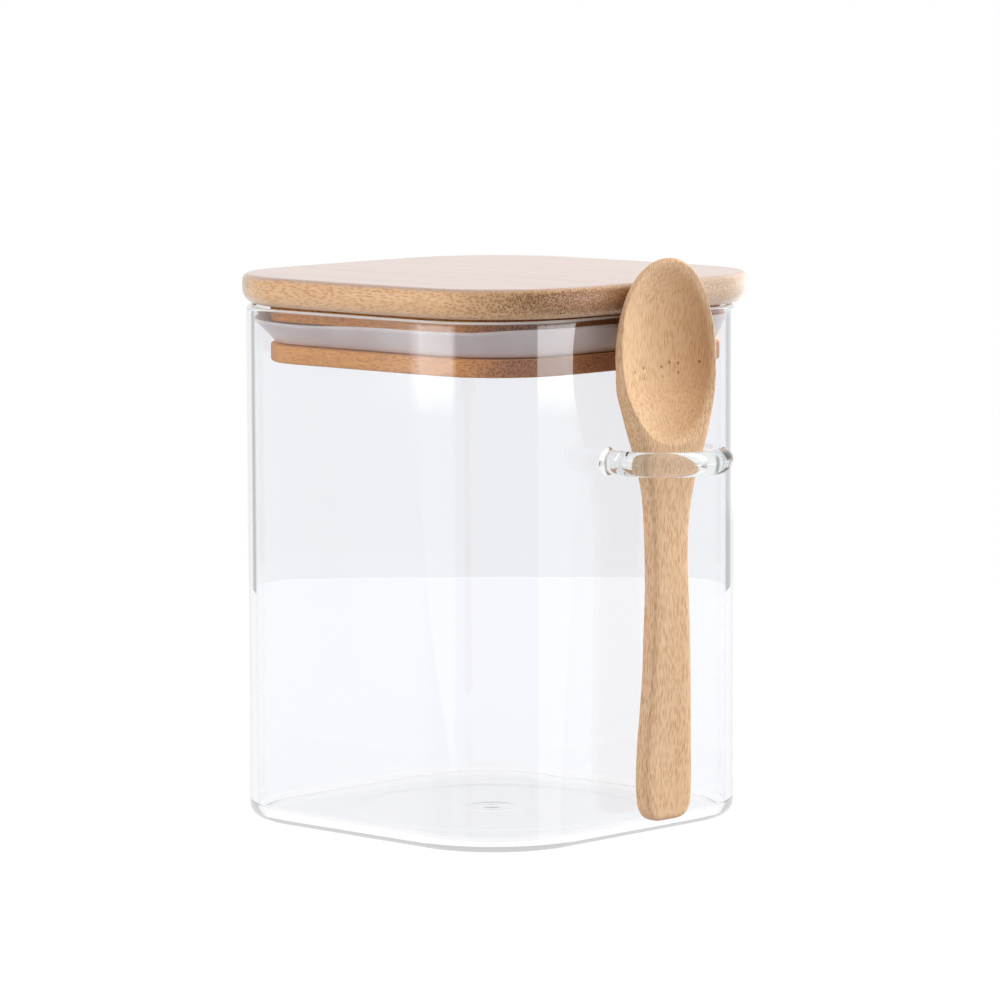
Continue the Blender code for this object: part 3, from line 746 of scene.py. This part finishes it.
# The plug is the board's bamboo. Its darker, more orange tones are painted shade and painted bounce
# light from its place under the board, inside the glass.
plug_wood_shaded = bamboo(
    "plug_shaded_look", "Y",
    (srgb(232, 164, 90), srgb(217, 147, 75), srgb(184, 114, 56), srgb(146, 86, 42)),
    dots=(0.5, 0.9), ends=(srgb(176, 114, 74), srgb(84, 44, 24), 0.95),
    gloss=(0.5, 0.6, 0.3, 0.0, 0.3), seed=37.0)
spoon_wood = bamboo(
    "spoon_look", "Z",
    (srgb(235, 200, 163), srgb(227, 190, 152), srgb(207, 162, 119), srgb(179, 123, 78)),
    dots=(0.6, 0.55), ends=(srgb(212, 170, 130), srgb(170, 120, 78), 0.5),
    gloss=(0.5, 0.6, 0.3, 0.0, 0.3), cell=0.42, dash=2.6, seed=5.0, bowl=True)

clothe(make_jar(), jar_glass, "jar", "clear_glass", "jar_body")
clothe(make_loop(), loop_glass, "jar", "loop_glass", "spoon_loop")
clothe(make_board(), board_wood, "lid", "board_bamboo", "lid_board")
clothe(make_plug(), plug_wood_shaded, "lid", "plug_bamboo", "lid_plug")
clothe(make_seal(), silicone(), "lid", "silicone", "seal_ring")
clothe(make_spoon(), spoon_wood, "spoon", "spoon_bamboo", "spoon")


# Floor, world, light and camera

FLOOR_RADIUS, FLOOR_DROP, FLOOR_SIDES = 0.47, 0.0002, 96
FLOOR_SOFT, FLOOR_WEAK, FLOOR_GLOW = 0.55, 0.10, 0.97


def make_floor():
    """A pale floor that shines white to the rays that show a background, and keeps the shadow."""
    bm = bmesh.new()
    bmesh.ops.create_circle(bm, cap_ends=True, segments=FLOOR_SIDES, radius=FLOOR_RADIUS)
    mesh = bpy.data.meshes.new("floor")
    bm.to_mesh(mesh)
    bm.free()
    obj = bpy.data.objects.new("floor", mesh)
    bpy.context.scene.collection.objects.link(obj)
    obj.location.z = -FLOOR_DROP
    n = Nodes("floor_look")
    path = n.add("LightPath").outputs
    white = n.math("MAXIMUM", path["Is Camera Ray"], path["Is Glossy Ray"])
    white = n.math("MAXIMUM", white, path["Is Transmission Ray"])
    soft, weak = n.add("BsdfDiffuse"), n.add("BsdfDiffuse")
    soft.inputs["Color"].default_value = (*grey(FLOOR_SOFT), 1)
    weak.inputs["Color"].default_value = (*grey(FLOOR_WEAK), 1)
    glow = n.add("Emission")
    n.put(glow.inputs["Strength"], n.times(white, FLOOR_GLOW))
    glow.inputs["Color"].default_value = (*grey(1), 1)
    total = n.add("AddShader")
    n.put(total.inputs[0], n.mix_shader(white, soft.outputs[0], weak.outputs[0]))
    n.put(total.inputs[1], glow.outputs[0])
    obj.data.materials.append(n.end(total.outputs[0]))
    obj.visible_glossy = False


# The surroundings, in degrees: azimuth 0 is the part's front and 90 its right. Of four numbers the
# first two are where a thing starts and ends, the others how softly. Of two, the first is where a
# change starts, the other how long it takes.
DEGREES = 180 / math.pi
BACKDROP_WAY = (0.7193, 0.6947, 0.0)
ROOM_TONES = ((0.0, (0.30, 0.31, 0.33)), (0.30, (0.34, 0.35, 0.37)), (0.52, (0.95, 0.95, 0.96)),
              (1.0, grey(1.0)))
ROOM_TOP, ROOM_BOTTOM = (12.0, 20.0), (14.0, 12.0)
LEFT_BOX, LEFT_BOX_DIP = (-135.0, -86.5, 3.0, 7.0), 42.0
RIGHT_BOX, RIGHT_BOX_DIP = (0.5, 47.36, 2.0, 0.1), -17.0
BOX_HEIGHTS, BOX_FEET = (-14.0, 50.0, 1.0, 4.0), (5.5, 3.8)
BOX_FADE, BOX_FADE_SHARE = (-3.0, 4.5), -0.9
BOX_TONE, BOX_RISE, BOX_STOPS = (7.0, 7.0, 7.1), 6.0, ((0.45, 0.19), (0.95, 1.0))
STRIP, STRIP_HEIGHTS, STRIP_TONE = (46.0, 104.0, 6.0, 10.0), (-4.5, 3.0, 0.2, 3.0), grey(2.0)
NEAR_CARD, FAR_CARD = (93.0, 111.5, 2.0, 1.5), (163.0, 176.5, 1.5, 2.0)
CARD_HEIGHTS, CARD_TONE = (-12.0, 14.0, 1.0, 4.0), (0.48, 0.485, 0.50)
ROOM_LIGHT = (0.32, 0.32, 0.325)
WHITE, BLACK = grey(1.0), grey(0.0)


def make_world():
    """The white backdrop, plain light for the object, and the room that the glass mirrors."""
    world = bpy.data.worlds.new("studio")
    bpy.context.scene.world = world
    world.use_nodes = True
    n = Nodes.__new__(Nodes)
    n.tree = world.node_tree
    n.tree.nodes.clear()
    out = n.tree.nodes.new("ShaderNodeOutputWorld")
    direction = n.add("TexCoord").outputs["Generated"]
    x, y, z = n.axes(direction)
    azimuth = n.times(n.math("ARCTAN2", x, n.times(y, -1.0)), DEGREES)
    height = n.times(n.math("ARCSINE", z), DEGREES)
    depth = n.times(height, -1.0)

    def step(value, start, soft):
        return n.math("DIVIDE", n.math("SUBTRACT", value, start), soft, clamp=True)

    def between(value, low, high, soft_low, soft_high):
        below = step(n.times(value, -1.0), n.times(high, -1.0), soft_high)
        return n.times(step(value, low, soft_low), below)

    # The backdrop is white and the room on the other side is darker
    facing = n.vec("DOT_PRODUCT", direction, BACKDROP_WAY)
    side = n.ramp(n.line(facing, 0.5, 0.5), *ROOM_TONES)
    over = n.math("MAXIMUM", step(height, *ROOM_TOP), step(depth, *ROOM_BOTTOM))
    room = n.mix(over, side, WHITE)
    # Two tall soft boxes stand beside the camera, drawn in at their feet and fading above the eye
    dip = step(depth, *BOX_FEET)
    dip = n.times(dip, dip)
    low, high, *soft = LEFT_BOX
    left = between(azimuth, n.line(dip, LEFT_BOX_DIP, low), high, *soft)
    low, high, *soft = RIGHT_BOX
    right = between(azimuth, low, n.line(dip, RIGHT_BOX_DIP, high), *soft)
    fade = n.line(step(height, *BOX_FADE), BOX_FADE_SHARE, 1.0)
    boxes = n.times(n.times(n.math("MAXIMUM", left, right), between(height, *BOX_HEIGHTS)), fade)
    level = n.ramp(n.math("ADD", height, BOX_RISE), *BOX_STOPS)
    mirrored = n.mix(boxes, room, n.mix(level, BLACK, BOX_TONE))
    # A long low light on the right whitens what is seen at a slant there
    strip = n.times(between(azimuth, *STRIP), between(height, *STRIP_HEIGHTS))
    mirrored = n.mix(strip, mirrored, STRIP_TONE)
    # A dark card stands at each side of the backdrop. Rays that the glass bends aside see them.
    cards = n.math("MAXIMUM", between(azimuth, *NEAR_CARD), between(azimuth, *FAR_CARD))
    bent = n.mix(n.times(cards, between(height, *CARD_HEIGHTS)), WHITE, CARD_TONE)
    path = n.add("LightPath").outputs
    colour = n.mix(path["Is Glossy Ray"], ROOM_LIGHT, mirrored)
    colour = n.mix(path["Is Transmission Ray"], colour, bent)
    colour = n.mix(path["Is Camera Ray"], colour, WHITE)
    back = n.add("Background")
    n.put(back.inputs["Color"], colour)
    n.tree.links.new(back.outputs[0], out.inputs["Surface"])
    world.cycles.sampling_method = "NONE"


LAMP_AIM, LAMP_DISTANCE = Vector((0.0, 0.0, 0.07)), 1.3
# Name, azimuth, height, width, how tall, power
LAMPS = (("key", 62, 32, 0.7, 0.7, 17.5), ("fill", -110, 22, 0.8, 0.8, 9.3),
         ("front", -10, 35, 0.8, 0.8, 2.5), ("edge", 105, 12, 0.4, 0.9, 12))


def way_out(azimuth, height):
    """The way out from the part at an azimuth and a height in radians."""
    level = math.cos(height)
    return Vector((math.sin(azimuth) * level, -math.cos(azimuth) * level, math.sin(height)))


def lamp(name, azimuth, height, width, tall, power):
    """A soft box at an azimuth and a height in degrees, facing the jar."""
    data = bpy.data.lights.new(name, "AREA")
    data.shape = "RECTANGLE"
    data.size, data.size_y = width, tall
    data.energy = power
    obj = bpy.data.objects.new(name, data)
    bpy.context.scene.collection.objects.link(obj)
    back = way_out(math.radians(azimuth), math.radians(height))
    obj.location = LAMP_AIM + back * LAMP_DISTANCE
    obj.rotation_euler = back.to_track_quat("Z", "Y").to_euler()
    obj.visible_glossy = False
    obj.visible_transmission = False


# The camera fitted to the photograph: angles in radians, distances in metres, focal length in
# thousandths of the picture's width
FOCAL, SENSOR = 5451.0, 36
PITCH, ROLL, YAW = 0.1118, -0.0031, -0.0017
CAMERA_AZIMUTH, CAMERA_REACH, CAMERA_HEIGHT = -0.8089, 1.3395, 0.22862


def make_camera():
    azimuth, head = CAMERA_AZIMUTH, CAMERA_AZIMUTH + YAW
    place = Vector((CAMERA_REACH * math.sin(azimuth), -CAMERA_REACH * math.cos(azimuth),
                    CAMERA_HEIGHT))
    ahead = -way_out(head, PITCH)
    right = Vector((math.cos(head), math.sin(head), 0))
    up = right.cross(ahead)
    r = right * math.cos(ROLL) + up * math.sin(ROLL)
    u = -right * math.sin(ROLL) + up * math.cos(ROLL)
    data = bpy.data.cameras.new("camera")
    data.sensor_width = SENSOR
    data.lens = FOCAL / 1000 * SENSOR
    obj = bpy.data.objects.new("camera", data)
    bpy.context.scene.collection.objects.link(obj)
    obj.matrix_world = Matrix(((r.x, u.x, -ahead.x, place.x), (r.y, u.y, -ahead.y, place.y),
                               (r.z, u.z, -ahead.z, place.z), (0, 0, 0, 1)))
    bpy.context.scene.camera = obj


make_floor()
make_world()
for values in LAMPS:
    lamp(*values)
make_camera()
bpy.context.scene.view_settings.view_transform = "Standard"
